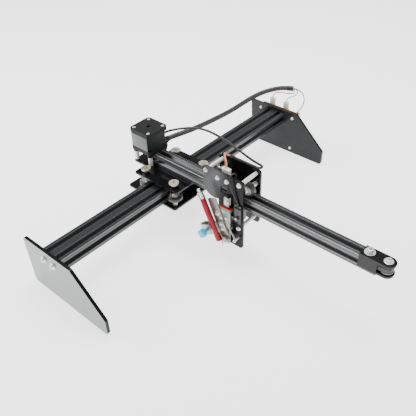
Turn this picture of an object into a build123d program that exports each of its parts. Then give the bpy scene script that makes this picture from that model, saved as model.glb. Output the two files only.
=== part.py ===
from build123d import *
import os
from math import cos, pi, radians, sin, tan

# Desktop drawing arm: a carriage with a long cantilever arm runs on a rail between two end plates,
# and a pen carriage with a servo lift runs on the arm. Millimetres, Z up, pen and feet on z = 0.
# x and y of the pieces are counted from the point where the arm's centre line crosses the rail's.

# ---- driving dimensions ----
RAIL_LENGTH = 500
RAIL_BOTTOM = 54.6
PROFILE = 20                 # side of the small extrusion, and height of the rail
RAIL_Y = 12.4                # the rail's middle, seen from the arm's centre line
END_PLATE = 5                # thickness of the end plates
PLATE = 3                    # thickness of the carriage plates
WHEEL_OFFSET = 19.85         # a wheel's axis from the middle of the extrusion it runs on
WHEEL_RADIUS = 11.95
ARM_LEFT, ARM_RIGHT = -35, 346
BLOCK_LEFT, BLOCK_RIGHT = 321, 365
MOTOR_X, MOTOR_SIDE = -52.3, 42.3
MOTOR_BOTTOM, MOTOR_TOP = 104.4, 141.5
RAIL_MOTOR_X = -44.2
BELT_RADIUS, BELT_THICK, BELT_WIDE = 6.25, 1.15, 6
BELT_BOTTOM = 93.3           # lower edge of the arm's belt
PEN_X = 113                  # middle of the pen carriage at rest
PLATE_GAP = 17.5             # the pen carriage's plates from the arm's centre line
PEN_LEAN = 26.5              # degrees from upright
PEN_TIP = (136, 0.3)         # x and z of the pen's point
BOARD_BACK = 264.6           # outer face of the control board, seen from the rail's middle
BOARD_PART = 5               # how far its parts stand out
M5, M3 = 2.5, 1.5            # radii

# ---- heights and places worked out from them ----
RAIL_MID = RAIL_BOTTOM + PROFILE / 2
RAIL_TOP = RAIL_BOTTOM + PROFILE
UPPER_PLATE = 81.2
LOWER_PLATE = 46.6
ARM_BOTTOM = UPPER_PLATE + PLATE
ARM_MID = ARM_BOTTOM + PROFILE / 2
ARM_TOP = ARM_BOTTOM + PROFILE
RAIL_WHEEL_X, RAIL_WHEEL_Y = PROFILE / 2 + WHEEL_OFFSET, 33
NEAR_END = RAIL_Y - RAIL_LENGTH / 2
FAR_END = RAIL_Y + RAIL_LENGTH / 2
FRONT_SCREW = 3.6            # head and washer on the near plate
LEFTMOST = MOTOR_X - MOTOR_SIDE / 2
NEAREST = NEAR_END - END_PLATE - FRONT_SCREW
FURTHEST = RAIL_Y + BOARD_BACK + BOARD_PART
ORIGIN_X = (LEFTMOST + BLOCK_RIGHT) / 2
ORIGIN_Y = (NEAREST + FURTHEST) / 2

os.makedirs("parts", exist_ok=True)


# ---- planes: level looks down, front looks along +Y, side looks along -X ----
def level(z, x=0, y=0):
    return Plane((x - ORIGIN_X, y - ORIGIN_Y, z))


def front(y, x=0, z=0):
    return Plane(origin=(x - ORIGIN_X, y - ORIGIN_Y, z), x_dir=(1, 0, 0), z_dir=(0, -1, 0))


def side(x, y=0, z=0):
    return Plane(origin=(x - ORIGIN_X, y - ORIGIN_Y, z), x_dir=(0, 1, 0), z_dir=(1, 0, 0))


def place(x, y, z):
    return Vector(x - ORIGIN_X, y - ORIGIN_Y, z)


# ---- shapes that repeat; each adds to the part that is being built ----
def disc(plane, radius, height, mode=Mode.ADD):
    with BuildSketch(plane) as outline:
        Circle(radius)
    extrude(outline.sketch, amount=height, mode=mode)


def ring(plane, outer, inner, height):
    with BuildSketch(plane) as outline:
        Circle(outer)
        Circle(inner, mode=Mode.SUBTRACT)
    extrude(outline.sketch, amount=height)


def slab(plane, width, depth, height, radius=0, mode=Mode.ADD):
    with BuildSketch(plane) as outline:
        Rectangle(width, depth)
        if radius:
            fillet(outline.vertices(), radius)
    extrude(outline.sketch, amount=height, mode=mode)


def button_screw(plane, shank, head, rise, length):
    """Head on the plane, with a hexagon recess, and the shank, if it has a length, behind it."""
    with BuildSketch(plane) as cap:
        Circle(head)
    extrude(cap.sketch, amount=rise, taper=28)
    if length:
        disc(plane, shank, -length)
    with BuildSketch(plane.offset(rise * 0.45)) as recess:
        RegularPolygon(shank * 0.6, 6)
    extrude(recess.sketch, amount=rise, mode=Mode.SUBTRACT)


def slot_outline():
    """One V slot, its mouth on the local x axis."""
    half = [(4.6, 0.1), (3.1, -1.5), (3.1, -2), (5.5, -2), (5.5, -3.6), (2.9, -6.1)]
    Polygon(*half, *[(-x, y) for x, y in reversed(half)], align=None, mode=Mode.SUBTRACT)


def profile_section(plane, cells):
    """Section of a V-slot extrusion, cells squares wide."""
    half_width = cells * PROFILE / 2
    centres = [PROFILE * (i + 0.5) - half_width for i in range(cells)]
    with BuildSketch(plane) as section:
        Rectangle(cells * PROFILE, PROFILE)
        fillet(section.vertices(), 0.8)
        for x in centres:
            for turn in (0, 180):
                with Locations(Location((x, PROFILE / 2 * cos(radians(turn)), 0), (0, 0, turn))):
                    slot_outline()
            with Locations((x, 0)):
                Circle(2.1, mode=Mode.SUBTRACT)
        for turn in (-90, 90):
            with Locations(Location((-half_width * sin(radians(turn)), 0, 0), (0, 0, turn))):
                slot_outline()
        if cells == 2:
            RectangleRounded(5.2, 12, 1.2, mode=Mode.SUBTRACT)
    return section.sketch


def wheel(plane):
    """V wheel, plane through its middle; the bore holds two ball bearings."""
    flat, wide, shoulder = 2.1, 5.1, 8.98
    with BuildSketch(Plane(plane.origin, x_dir=plane.x_dir, z_dir=-plane.y_dir)) as half:
        Polygon((8.05, -wide), (shoulder, -wide), (WHEEL_RADIUS, -flat), (WHEEL_RADIUS, flat),
                (shoulder, wide), (8.05, wide), align=None)
    revolve(half.sketch, axis=Axis(plane.origin, plane.z_dir))


def bearing_pair(plane):
    for start in (-5, 0.25):
        ring(plane.offset(start), 8, M5, 4.75)


def motor_cap(plane, height, bore):
    with BuildSketch(plane) as outline:
        Rectangle(MOTOR_SIDE, MOTOR_SIDE)
        chamfer(outline.vertices(), 3.2)
        Circle(bore, mode=Mode.SUBTRACT)
    extrude(outline.sketch, amount=height)


def motor_stack(plane, height, bore):
    with BuildSketch(plane) as outline:
        Rectangle(MOTOR_SIDE - 0.8, MOTOR_SIDE - 0.8)
        chamfer(outline.vertices(), 7)
        Circle(bore, mode=Mode.SUBTRACT)
    extrude(outline.sketch, amount=height)


def belt_pulley(plane, teeth_high, hub_high, hub_first):
    """Toothed pulley with two flanges and a hub, one side or the other."""
    first = hub_high if hub_first else 0
    if hub_first:
        ring(plane, 6.5, M5, hub_high)
    ring(plane.offset(first), 8, M5, 1)
    with BuildSketch(plane.offset(first + 1)) as teeth:
        Circle(6.1)
        with PolarLocations(6.2, 20):
            Circle(0.55, mode=Mode.SUBTRACT)
        Circle(M5, mode=Mode.SUBTRACT)
    extrude(teeth.sketch, amount=teeth_high)
    ring(plane.offset(first + 1 + teeth_high), 8, M5, 1)
    if not hub_first:
        ring(plane.offset(first + 2 + teeth_high), 6.5, M5, hub_high)


def cord_tube(cord, points, diameter):
    """Add a tube to the cord, straight runs joined by tangent arcs as large as the runs allow."""
    route = [place(*p) for p in points]
    radii = []
    for before, corner, after in zip(route, route[1:], route[2:]):
        into, out = corner - before, after - corner
        turn = into.get_angle(out)
        radii.append(0.45 * min(into.length, out.length) / tan(radians(turn) / 2))
    with BuildLine() as path:
        FilletPolyline(*route, radius=radii)
    with BuildSketch(Plane(route[0], z_dir=route[1] - route[0])) as section:
        Circle(diameter / 2)
    volume = cord.part.volume if cord.part else 0
    sweep(section.sketch, path=path.wire())
    length = path.wire().length
    print("cord", diameter, "length", round(length, 1), "section x length",
          round(pi * diameter ** 2 / 4 * length, 1), "volume", round(cord.part.volume - volume, 1),
          "radii", [round(r, 1) for r in radii])


# ---- base: rail, end plates, belt and board ----
with BuildPart() as rail:
    extrude(profile_section(front(FAR_END, z=RAIL_MID), 2), amount=RAIL_LENGTH)
rail.part.label = "rail"
export_step(rail.part, "parts/rail.step")


def end_plate(plane, holes):
    """Sheet foot: level top, upright outer edge and a slope down to the long front foot."""
    with BuildSketch(plane) as outline:
        Polygon((-50.4, 0), (105.8, 0), (105.8, 26.2), (47.7, 80.3), (-53.6, 80.3), align=None)
        fillet(outline.vertices(), 4)
        with Locations(*holes):
            Circle(M5 + 0.1, mode=Mode.SUBTRACT)
    extrude(outline.sketch, amount=END_PLATE)


RAIL_HOLES = [(-PROFILE / 2, RAIL_MID), (PROFILE / 2, RAIL_MID)]
BOARD_HOLES = [(x, z) for x in (-31, 38.6) for z in (9, 71)]

with BuildPart() as near_end_plate:
    end_plate(front(NEAR_END), RAIL_HOLES)
near_end_plate.part.label = "near_end_plate"
export_step(near_end_plate.part, "parts/near_end_plate.step")

with BuildPart() as far_end_plate:
    end_plate(front(FAR_END + END_PLATE), RAIL_HOLES)
    for x, z in BOARD_HOLES:
        disc(front(FAR_END + END_PLATE, x=x, z=z), M3 + 0.1, END_PLATE, mode=Mode.SUBTRACT)
far_end_plate.part.label = "far_end_plate"
export_step(far_end_plate.part, "parts/far_end_plate.step")

with BuildPart() as end_plate_screws:
    for x, z in RAIL_HOLES:
        near = front(NEAR_END - END_PLATE, x=x, z=z)
        far = Plane(origin=front(FAR_END + END_PLATE, x=x, z=z).origin, x_dir=(-1, 0, 0), z_dir=(0, 1, 0))
        for seat in (near, far):
            ring(seat, 5.5, 2.1, 1)
            button_screw(seat.offset(1), 2.08, 4.2, FRONT_SCREW - 1, 16)
end_plate_screws.part.label = "end_plate_screws"
export_step(end_plate_screws.part, "parts/end_plate_screws.step")

RAIL_BELT_X = -15.5              # middle of the fixed belt, in the rail's side slot
with BuildPart() as rail_belt:
    slab(front(FAR_END - 1, x=RAIL_BELT_X, z=RAIL_MID), BELT_THICK, BELT_WIDE, RAIL_LENGTH - 2)
rail_belt.part.label = "rail_belt"
export_step(rail_belt.part, "parts/rail_belt.step")

BOARD_X, BOARD_Z = 3.8, 40
BOARD_FACE = RAIL_Y + BOARD_BACK
with BuildPart() as control_board:
    slab(front(BOARD_FACE, x=BOARD_X, z=BOARD_Z), 78, 73, 1.6, radius=2)
    for x, z in BOARD_HOLES:
        disc(front(BOARD_FACE, x=x, z=z), M3 + 0.1, 1.6, mode=Mode.SUBTRACT)
control_board.part.label = "control_board"
export_step(control_board.part, "parts/control_board.step")

with BuildPart() as board_fixings:
    for x, z in BOARD_HOLES:
        ring(front(BOARD_FACE - 1.6, x=x, z=z), 2.8, M3 + 0.05, BOARD_FACE - 1.6 - FAR_END - END_PLATE)
        button_screw(front(FAR_END, x=x, z=z), M3, 2.9, 1.8, BOARD_FACE - FAR_END)
        outer = front(BOARD_FACE, x=x, z=z)
        ring(Plane(outer.origin, x_dir=(-1, 0, 0), z_dir=(0, 1, 0)), 2.8, M3 - 0.01, 2)
board_fixings.part.label = "board_fixings"
export_step(board_fixings.part, "parts/board_fixings.step")

# sockets, driver chips, main chip and power jack, standing out of the board's outer face: x, z, width,
# height and rise of each
BOARD_LUMPS = [(-17, 68, 14, 9, 5), (13, 68, 14, 9, 5), (33, 58, 6, 12, 5), (-16, 45, 15, 20, 4),
               (8, 45, 15, 20, 4), (-10, 16, 16, 12, 5), (18, 17, 24, 9, 3)]
LEAD_PLUGS = (-17, 13)
PLUG_TOP, PLUG_OUT = 88, 2.5      # top of the lead plugs, and their middle in front of the board
with BuildPart() as board_components:
    for x, z, width, tall, rise in BOARD_LUMPS:
        slab(front(BOARD_FACE, x=x, z=z), width, tall, -rise, radius=0.6)
    for x in LEAD_PLUGS:
        slab(level(72.5, x, BOARD_FACE + PLUG_OUT), 10, 4.6, PLUG_TOP - 72.5, radius=0.8)
board_components.part.label = "board_components"
export_step(board_components.part, "parts/board_components.step")

# ---- carriage: plates, wheels' axles, arm ----
WHEEL_SPOTS = [(sx * RAIL_WHEEL_X, sy * RAIL_WHEEL_Y) for sx in (-1, 1) for sy in (-1, 1)]
MOTOR_SPOTS = [(MOTOR_X + sx * 15.5, sy * 15.5) for sx in (-1, 1) for sy in (-1, 1)]
ARM_BOLTS = (-18, 24)            # the screws that hold the arm, along x

with BuildPart() as upper_plate:
    with BuildSketch(level(UPPER_PLATE)) as outline:
        Rectangle(89.4, 88.8)
        with Locations((-55, 0)):
            Rectangle(32, 42)
        fillet(outline.vertices(), 4)
        with Locations(*WHEEL_SPOTS):
            Circle(M5 + 0.1, mode=Mode.SUBTRACT)
        with Locations(*MOTOR_SPOTS, *[(x, 0) for x in ARM_BOLTS]):
            Circle(M3 + 0.1, mode=Mode.SUBTRACT)
    extrude(amount=PLATE)
upper_plate.part.label = "upper_plate"
export_step(upper_plate.part, "parts/upper_plate.step")

RAIL_MOTOR_SPOTS = [(RAIL_MOTOR_X + sx * 15.5, sy * 15.5) for sx in (-1, 1) for sy in (-1, 1)]
with BuildPart() as lower_plate:
    with BuildSketch(level(LOWER_PLATE)) as outline:
        with Locations((-13.5, 0)):
            Rectangle(103, 86)
        fillet(outline.vertices(), 4)
        with Locations(*WHEEL_SPOTS):
            Circle(M5 + 0.1, mode=Mode.SUBTRACT)
        with Locations(*[(x, y) for x, y in RAIL_MOTOR_SPOTS]):
            Circle(M3 + 0.1, mode=Mode.SUBTRACT)
        with Locations((RAIL_MOTOR_X, 0)):
            Circle(11.2, mode=Mode.SUBTRACT)
    extrude(amount=PLATE)
lower_plate.part.label = "lower_plate"
export_step(lower_plate.part, "parts/lower_plate.step")

with BuildPart() as wheel_axles:
    for x, y in WHEEL_SPOTS:
        with BuildSketch(level(ARM_BOTTOM, x, y)) as neck:
            Circle(M5 + 0.4)
        with BuildSketch(level(ARM_BOTTOM + 5.6, x, y)) as under_head:
            Circle(7.4)
        loft([neck.sketch.faces()[0], under_head.sketch.faces()[0]])
        disc(level(ARM_BOTTOM + 5.6, x, y), 7.6, 1.8)
        with BuildSketch(level(ARM_BOTTOM + 5, x, y)) as recess:
            RegularPolygon(2.3, 6)
        extrude(recess.sketch, amount=3, mode=Mode.SUBTRACT)
        disc(level(LOWER_PLATE - 7, x, y), M5 - 0.02, ARM_BOTTOM - LOWER_PLATE + 7)
        with BuildSketch(level(LOWER_PLATE - 5, x, y)) as nut:
            RegularPolygon(4, 6, major_radius=False)
            Circle(M5 - 0.02, mode=Mode.SUBTRACT)
        extrude(nut.sketch, amount=5)
        ring(level(LOWER_PLATE + PLATE, x, y), 4, M5 - 0.03, RAIL_MID - 5 - LOWER_PLATE - PLATE)
        ring(level(RAIL_MID + 5, x, y), 4, M5 - 0.03, UPPER_PLATE - RAIL_MID - 5)
wheel_axles.part.label = "wheel_axles"
export_step(wheel_axles.part, "parts/wheel_axles.step")

with BuildPart() as rail_bearings:
    for x, y in WHEEL_SPOTS:
        bearing_pair(level(RAIL_MID, x, y))
rail_bearings.part.label = "rail_bearings"
export_step(rail_bearings.part, "parts/rail_bearings.step")

for name, (x, y) in zip(("back_near", "back_far", "front_near", "front_far"), WHEEL_SPOTS):
    with BuildPart() as rail_wheel:
        wheel(level(RAIL_MID, x, y))
    rail_wheel.part.label = f"rail_wheel_{name}"
    export_step(rail_wheel.part, f"parts/rail_wheel_{name}.step")

NOTCH = BLOCK_LEFT - 0.1
BLOCK_BOTTOM, BLOCK_TOP = 87.2, 106.8
with BuildPart() as arm:
    extrude(profile_section(side(ARM_LEFT, z=ARM_MID), 1), amount=ARM_RIGHT - ARM_LEFT)
    slab(level(BLOCK_BOTTOM, (NOTCH + ARM_RIGHT + 1) / 2), ARM_RIGHT + 1 - NOTCH, PROFILE + 1,
         PROFILE, mode=Mode.SUBTRACT)
    for x in ARM_BOLTS:
        disc(level(ARM_BOTTOM, x), M3, PROFILE / 2, mode=Mode.SUBTRACT)
arm.part.label = "arm"
export_step(arm.part, "parts/arm.step")

# ---- carriage: the arm's motor on its posts, pulley, belt and idler ----
with BuildPart() as motor_posts:
    for x, y in MOTOR_SPOTS:
        ring(level(ARM_BOTTOM, x, y), 3.75, M3 + 0.05, MOTOR_BOTTOM - ARM_BOTTOM)
motor_posts.part.label = "motor_posts"
export_step(motor_posts.part, "parts/motor_posts.step")

CAP_LOW, CAP_HIGH = 7, 6.5
with BuildPart() as motor_caps:
    motor_cap(level(MOTOR_BOTTOM, MOTOR_X), CAP_LOW, 3)
    ring(level(MOTOR_BOTTOM - 2, MOTOR_X), 11, 3, 2)
    motor_cap(level(MOTOR_TOP - CAP_HIGH, MOTOR_X), CAP_HIGH, 3)
    for x, y in MOTOR_SPOTS:
        disc(level(MOTOR_TOP - 1, x, y), 3.4, 1, mode=Mode.SUBTRACT)
motor_caps.part.label = "motor_caps"
export_step(motor_caps.part, "parts/motor_caps.step")

with BuildPart() as motor_body:
    stack = MOTOR_TOP - MOTOR_BOTTOM - CAP_LOW - CAP_HIGH
    motor_stack(level(MOTOR_BOTTOM + CAP_LOW, MOTOR_X), stack, 3)
motor_body.part.label = "motor_body"
export_step(motor_body.part, "parts/motor_body.step")

with BuildPart() as carriage_screws:
    for x, y in MOTOR_SPOTS:
        button_screw(level(MOTOR_TOP - 1, x, y), M3, 2.9, 1, 0)
    for x in ARM_BOLTS:
        seat = Plane(level(UPPER_PLATE, x).origin, x_dir=(1, 0, 0), z_dir=(0, 0, -1))
        button_screw(seat, M3 - 0.02, 3, 2, 10)
    for x, y in RAIL_MOTOR_SPOTS:
        button_screw(level(LOWER_PLATE + PLATE, x, y), M3, 2.9, 1.8, PLATE)
carriage_screws.part.label = "carriage_screws"
export_step(carriage_screws.part, "parts/carriage_screws.step")

with BuildPart() as motor_shaft:
    disc(level(88, MOTOR_X), M5 - 0.02, MOTOR_TOP - 4 - 88)
motor_shaft.part.label = "motor_shaft"
export_step(motor_shaft.part, "parts/motor_shaft.step")

with BuildPart() as arm_pulley:
    belt_pulley(level(88.8, MOTOR_X), BELT_WIDE + 1, 3, True)
arm_pulley.part.label = "arm_pulley"
export_step(arm_pulley.part, "parts/arm_pulley.step")

IDLER_X = 355
with BuildPart() as arm_belt:
    with BuildSketch(level(BELT_BOTTOM)) as loop:
        with Locations(((MOTOR_X + IDLER_X) / 2, 0)):
            SlotCenterToCenter(IDLER_X - MOTOR_X, 2 * (BELT_RADIUS + BELT_THICK))
            SlotCenterToCenter(IDLER_X - MOTOR_X, 2 * BELT_RADIUS, mode=Mode.SUBTRACT)
    extrude(amount=BELT_WIDE)
arm_belt.part.label = "arm_belt"
export_step(arm_belt.part, "parts/arm_belt.step")

CHEEK_LOW, CHEEK_HIGH = 3.8, 4.2
with BuildPart() as idler_block:
    with BuildSketch(level(BLOCK_BOTTOM)) as outline:
        with Locations(((BLOCK_LEFT + IDLER_X) / 2, 0)):
            Rectangle(IDLER_X - BLOCK_LEFT, PROFILE)
        with Locations((IDLER_X, 0)):
            Circle(PROFILE / 2)
    extrude(amount=BLOCK_TOP - BLOCK_BOTTOM)
    gap_low, gap_high = BLOCK_BOTTOM + CHEEK_LOW, BLOCK_TOP - CHEEK_HIGH
    slab(level(gap_low, ARM_RIGHT + 15), 30, PROFILE + 2, gap_high - gap_low, mode=Mode.SUBTRACT)
    for turn in (-1, 1):
        slab(level(BELT_BOTTOM - 0.3, BLOCK_LEFT + 12, turn * (BELT_RADIUS + BELT_THICK / 2)), 28,
             BELT_THICK + 0.8, BELT_WIDE + 0.6, mode=Mode.SUBTRACT)
    disc(level(BLOCK_BOTTOM - 1, IDLER_X), M5 - 0.01, 30, mode=Mode.SUBTRACT)
    disc(level(BLOCK_BOTTOM - 1, BLOCK_LEFT + 9), M5 - 0.01, 30, mode=Mode.SUBTRACT)
idler_block.part.label = "idler_block"
export_step(idler_block.part, "parts/idler_block.step")

with BuildPart() as idler_bolts:
    x = BLOCK_LEFT + 9
    ring(level(BLOCK_TOP, x), 7, M5, 1)
    disc(level(BLOCK_BOTTOM, x), M5 - 0.02, BLOCK_TOP - BLOCK_BOTTOM + 1)
    disc(level(BLOCK_TOP + 1, x), 4.25, 5)
    with BuildSketch(level(BLOCK_TOP + 3, x)) as recess:
        RegularPolygon(2.2, 6)
    extrude(recess.sketch, amount=4, mode=Mode.SUBTRACT)
    ring(level(BLOCK_TOP, IDLER_X), 6, M5, 0.8)
    disc(level(BLOCK_BOTTOM - 5, IDLER_X), M5 - 0.03, BLOCK_TOP - BLOCK_BOTTOM + 5.8)
    button_screw(level(BLOCK_TOP + 0.8, IDLER_X), M5 - 0.03, 5, 2.8, 1)
    ring(level(gap_low, IDLER_X), 4, M5 - 0.04, 0.8)
    ring(level(gap_high - 0.8, IDLER_X), 4, M5 - 0.04, 0.8)
    with BuildSketch(level(BLOCK_BOTTOM - 4, IDLER_X)) as nut:
        RegularPolygon(4, 6, major_radius=False)
        Circle(M5 - 0.04, mode=Mode.SUBTRACT)
    extrude(nut.sketch, amount=4)
idler_bolts.part.label = "idler_bolts"
export_step(idler_bolts.part, "parts/idler_bolts.step")

with BuildPart() as end_idler:
    base = gap_low + 1
    ring(level(base, IDLER_X), 8, M5 + 0.03, 1)
    ring(level(base + 1, IDLER_X), 6.1, M5 + 0.03, gap_high - gap_low - 4)
    ring(level(gap_high - 2, IDLER_X), 8, M5 + 0.03, 1)
end_idler.part.label = "end_idler"
export_step(end_idler.part, "parts/end_idler.step")

# ---- carriage: the rail's motor under the lower plate, shaft up ----
RAIL_MOTOR_LOW = LOWER_PLATE - 28
with BuildPart() as rail_motor:
    motor_cap(level(RAIL_MOTOR_LOW, RAIL_MOTOR_X), 7, 3)
    motor_stack(level(RAIL_MOTOR_LOW + 7, RAIL_MOTOR_X), 13, 3)
    motor_cap(level(LOWER_PLATE - 8, RAIL_MOTOR_X), 8, 3)
    ring(level(LOWER_PLATE, RAIL_MOTOR_X), 11, 3, 2)
rail_motor.part.label = "rail_motor"
export_step(rail_motor.part, "parts/rail_motor.step")

# the pulley is pressed on its shaft, and both turn as one
with BuildPart() as rail_pulley:
    disc(level(RAIL_MOTOR_LOW + 3, RAIL_MOTOR_X), M5, 48)
    belt_pulley(level(RAIL_MID - 9.5, RAIL_MOTOR_X), BELT_WIDE + 1, 5, True)
rail_pulley.part.label = "rail_pulley"
export_step(rail_pulley.part, "parts/rail_pulley.step")

with BuildPart() as rail_idlers:
    for y in (-9, 9):
        spot = level(RAIL_MID, -28, y)
        disc(spot.offset(LOWER_PLATE + PLATE - RAIL_MID), M5, UPPER_PLATE - LOWER_PLATE - PLATE)
        ring(spot.offset(-3.5), 6, M5, 7)
        for start in (-4.5, 3.5):
            ring(spot.offset(start), 7.4, M5, 1)
rail_idlers.part.label = "rail_idlers"
export_step(rail_idlers.part, "parts/rail_idlers.step")

# ---- pen carriage: two plates, posts, wheels and belt clamp ----
SKIN = 3
PLATE_FACE = -PLATE_GAP - SKIN
PEN_LEFT, PEN_RIGHT = PEN_X - 37, PEN_X + 37.5
UPPER_AXLE, LOWER_AXLE = ARM_MID + WHEEL_OFFSET, ARM_MID - WHEEL_OFFSET
PEN_WHEELS = [("left", PEN_X - 30, UPPER_AXLE), ("right", PEN_X + 30, UPPER_AXLE),
              ("lower", PEN_X, LOWER_AXLE)]
POSTS = [(PEN_X - 30, 130.5), (PEN_X + 30, 131), (PEN_X + 30, 55.5)]
TIE_SCREWS = [(PEN_X - 8, 127), (PEN_X + 8.4, 127.4)]
SERVO_X, SERVO_Z, SERVO_WIDE, SERVO_TALL = 142.5, 81.7, 11.8, 22.8

with BuildPart() as pen_front_plate:
    with BuildSketch(front(-PLATE_GAP)) as outline:
        Polygon((PEN_LEFT + 1, 138), (PEN_RIGHT, 138), (PEN_RIGHT, 20), (PEN_X - 7, 20), (PEN_X - 7, 125),
                (PEN_LEFT + 1, 125), align=None)
        fillet(outline.vertices(), 4.5)
        with Locations((PEN_X - 15.5, 109)):
            Circle(19.7)
        with Locations(*POSTS, *TIE_SCREWS):
            Circle(M3 + 0.1, mode=Mode.SUBTRACT)
        with Locations((SERVO_X, SERVO_Z)):
            Rectangle(SERVO_WIDE + 0.2, SERVO_TALL + 0.2, mode=Mode.SUBTRACT)
        with Locations((PEN_X + 3, 110)):
            RectangleRounded(13, 11, 3, mode=Mode.SUBTRACT)
    extrude(amount=SKIN)
pen_front_plate.part.label = "pen_front_plate"
export_step(pen_front_plate.part, "parts/pen_front_plate.step")

with BuildPart() as pen_back_plate:
    with BuildSketch(front(PLATE_GAP + SKIN)) as outline:
        with Locations(((PEN_LEFT + PEN_RIGHT) / 2, 91)):
            Rectangle(PEN_RIGHT - PEN_LEFT, 92)
        fillet(outline.vertices(), 4.5)
        with Locations(*[(x, z) for name, x, z in PEN_WHEELS]):
            Circle(M5 + 0.05, mode=Mode.SUBTRACT)
        with Locations(*POSTS):
            Circle(M3 + 0.1, mode=Mode.SUBTRACT)
    extrude(amount=SKIN)
pen_back_plate.part.label = "pen_back_plate"
export_step(pen_back_plate.part, "parts/pen_back_plate.step")

with BuildPart() as pen_posts:
    for x, z in POSTS:
        ring(front(PLATE_GAP, x=x, z=z), 3, M3 + 0.05, 2 * PLATE_GAP)
pen_posts.part.label = "pen_posts"
export_step(pen_posts.part, "parts/pen_posts.step")

with BuildPart() as pen_plate_screws:
    for x, z in TIE_SCREWS:
        button_screw(front(PLATE_FACE, x=x, z=z), M3, 3.7, 2.4, 5)
    for x, z in POSTS:
        button_screw(front(PLATE_FACE, x=x, z=z), M3, 3.7, 2.4, 8)
        outer = Plane(front(PLATE_GAP + SKIN, x=x, z=z).origin, x_dir=(-1, 0, 0), z_dir=(0, 1, 0))
        button_screw(outer, M3, 3.7, 2.4, 8)
pen_plate_screws.part.label = "pen_plate_screws"
export_step(pen_plate_screws.part, "parts/pen_plate_screws.step")

with BuildPart() as pen_axles:
    for name, x, z in PEN_WHEELS:
        disc(front(PLATE_GAP + SKIN, x=x, z=z), M5 - 0.02, PLATE_GAP + SKIN + 6)
        ring(front(PLATE_GAP, x=x, z=z), 3.6, M5 - 0.03, PLATE_GAP - 5)
        ring(front(-5, x=x, z=z), 3.6, M5 - 0.03, 0.8)
        button_screw(front(-5.8, x=x, z=z), M5 - 0.02, 4.75, 2.7, 0)
        outer = Plane(front(PLATE_GAP + SKIN, x=x, z=z).origin, x_dir=(-1, 0, 0), z_dir=(0, 1, 0))
        with BuildSketch(outer) as nut:
            RegularPolygon(4, 6, major_radius=False)
        extrude(nut.sketch, amount=4)
pen_axles.part.label = "pen_axles"
export_step(pen_axles.part, "parts/pen_axles.step")

with BuildPart() as pen_bearings:
    for name, x, z in PEN_WHEELS:
        bearing_pair(front(0, x=x, z=z))
pen_bearings.part.label = "pen_bearings"
export_step(pen_bearings.part, "parts/pen_bearings.step")

for name, x, z in PEN_WHEELS:
    with BuildPart() as pen_wheel:
        wheel(front(0, x=x, z=z))
    pen_wheel.part.label = f"pen_wheel_{name}"
    export_step(pen_wheel.part, f"parts/pen_wheel_{name}.step")

BELT_OUTSIDE = BELT_RADIUS + BELT_THICK
with BuildPart() as belt_clamp:
    slab(front(PLATE_GAP, x=PEN_X, z=ARM_MID), 30, 16, PLATE_GAP - PROFILE / 2 - 0.5, radius=1.5)
    slab(front(PROFILE / 2 + 1, x=PEN_X, z=ARM_MID), 26, 5.2, PROFILE / 2 + 1 - BELT_OUTSIDE - 0.3)
belt_clamp.part.label = "belt_clamp"
export_step(belt_clamp.part, "parts/belt_clamp.step")

# ---- pen carriage: servo, lift rail, spring anchor and connector ----
SERVO_FRONT = PLATE_FACE - 3.5
SHAFT_Z = SERVO_Z - 5.3
with BuildPart() as servo:
    slab(front(-PROFILE / 2 - 1, x=SERVO_X, z=SERVO_Z), SERVO_WIDE, SERVO_TALL,
         -SERVO_FRONT - PROFILE / 2 - 1, radius=0.8)
    slab(front(PLATE_FACE, x=SERVO_X, z=SERVO_Z), SERVO_WIDE, 32.2, 2, radius=0.8)
    disc(front(SERVO_FRONT, x=SERVO_X, z=SHAFT_Z), 2.4, 0.6)
servo.part.label = "servo"
export_step(servo.part, "parts/servo.step")

HORN_FACE = SERVO_FRONT - 0.7
HORN_REACH, HORN_DROP = 6.9, 23   # arm length, and its angle below level at rest
with BuildPart() as servo_horn:
    horn = front(HORN_FACE, x=SERVO_X, z=SHAFT_Z)
    disc(horn, 3.3, 1.8)
    along = horn.x_dir.rotate(Axis((0, 0, 0), (0, -1, 0)), HORN_DROP)
    tilt = Plane(horn.origin, x_dir=along, z_dir=horn.z_dir)
    with BuildSketch(tilt) as arm_shape:
        with Locations((-HORN_REACH / 2, 0)):
            SlotCenterToCenter(HORN_REACH - 1, 2.6)
    extrude(arm_shape.sketch, amount=1.8)
servo_horn.part.label = "servo_horn"
export_step(servo_horn.part, "parts/servo_horn.step")

LIFT_X, LIFT_RAIL_HIGH, LIFT_SCREW_Z = 125, 5.5, 97
SPRING_LOW, SPRING_HIGH = (144, -29.4, 41.4), (128.2, -31.2, 66.4)
with BuildPart() as lift_rail:
    with BuildSketch(level(22, LIFT_X, PLATE_FACE)) as section:
        Polygon((-4.5, 0), (-4.5, -1.8), (-3.6, -2.7), (-4.5, -3.6), (-4.5, -LIFT_RAIL_HIGH),
                (4.5, -LIFT_RAIL_HIGH), (4.5, -3.6), (3.6, -2.7), (4.5, -1.8), (4.5, 0), align=None)
    extrude(amount=83)
    for z in (32, 52, 72, LIFT_SCREW_Z):
        if z < LIFT_SCREW_Z:
            disc(front(PLATE_FACE - LIFT_RAIL_HIGH, x=LIFT_X, z=z), 2.9, -3, mode=Mode.SUBTRACT)
        disc(front(PLATE_FACE - LIFT_RAIL_HIGH, x=LIFT_X, z=z), M3, -LIFT_RAIL_HIGH, mode=Mode.SUBTRACT)
lift_rail.part.label = "lift_rail"
export_step(lift_rail.part, "parts/lift_rail.step")

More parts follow.
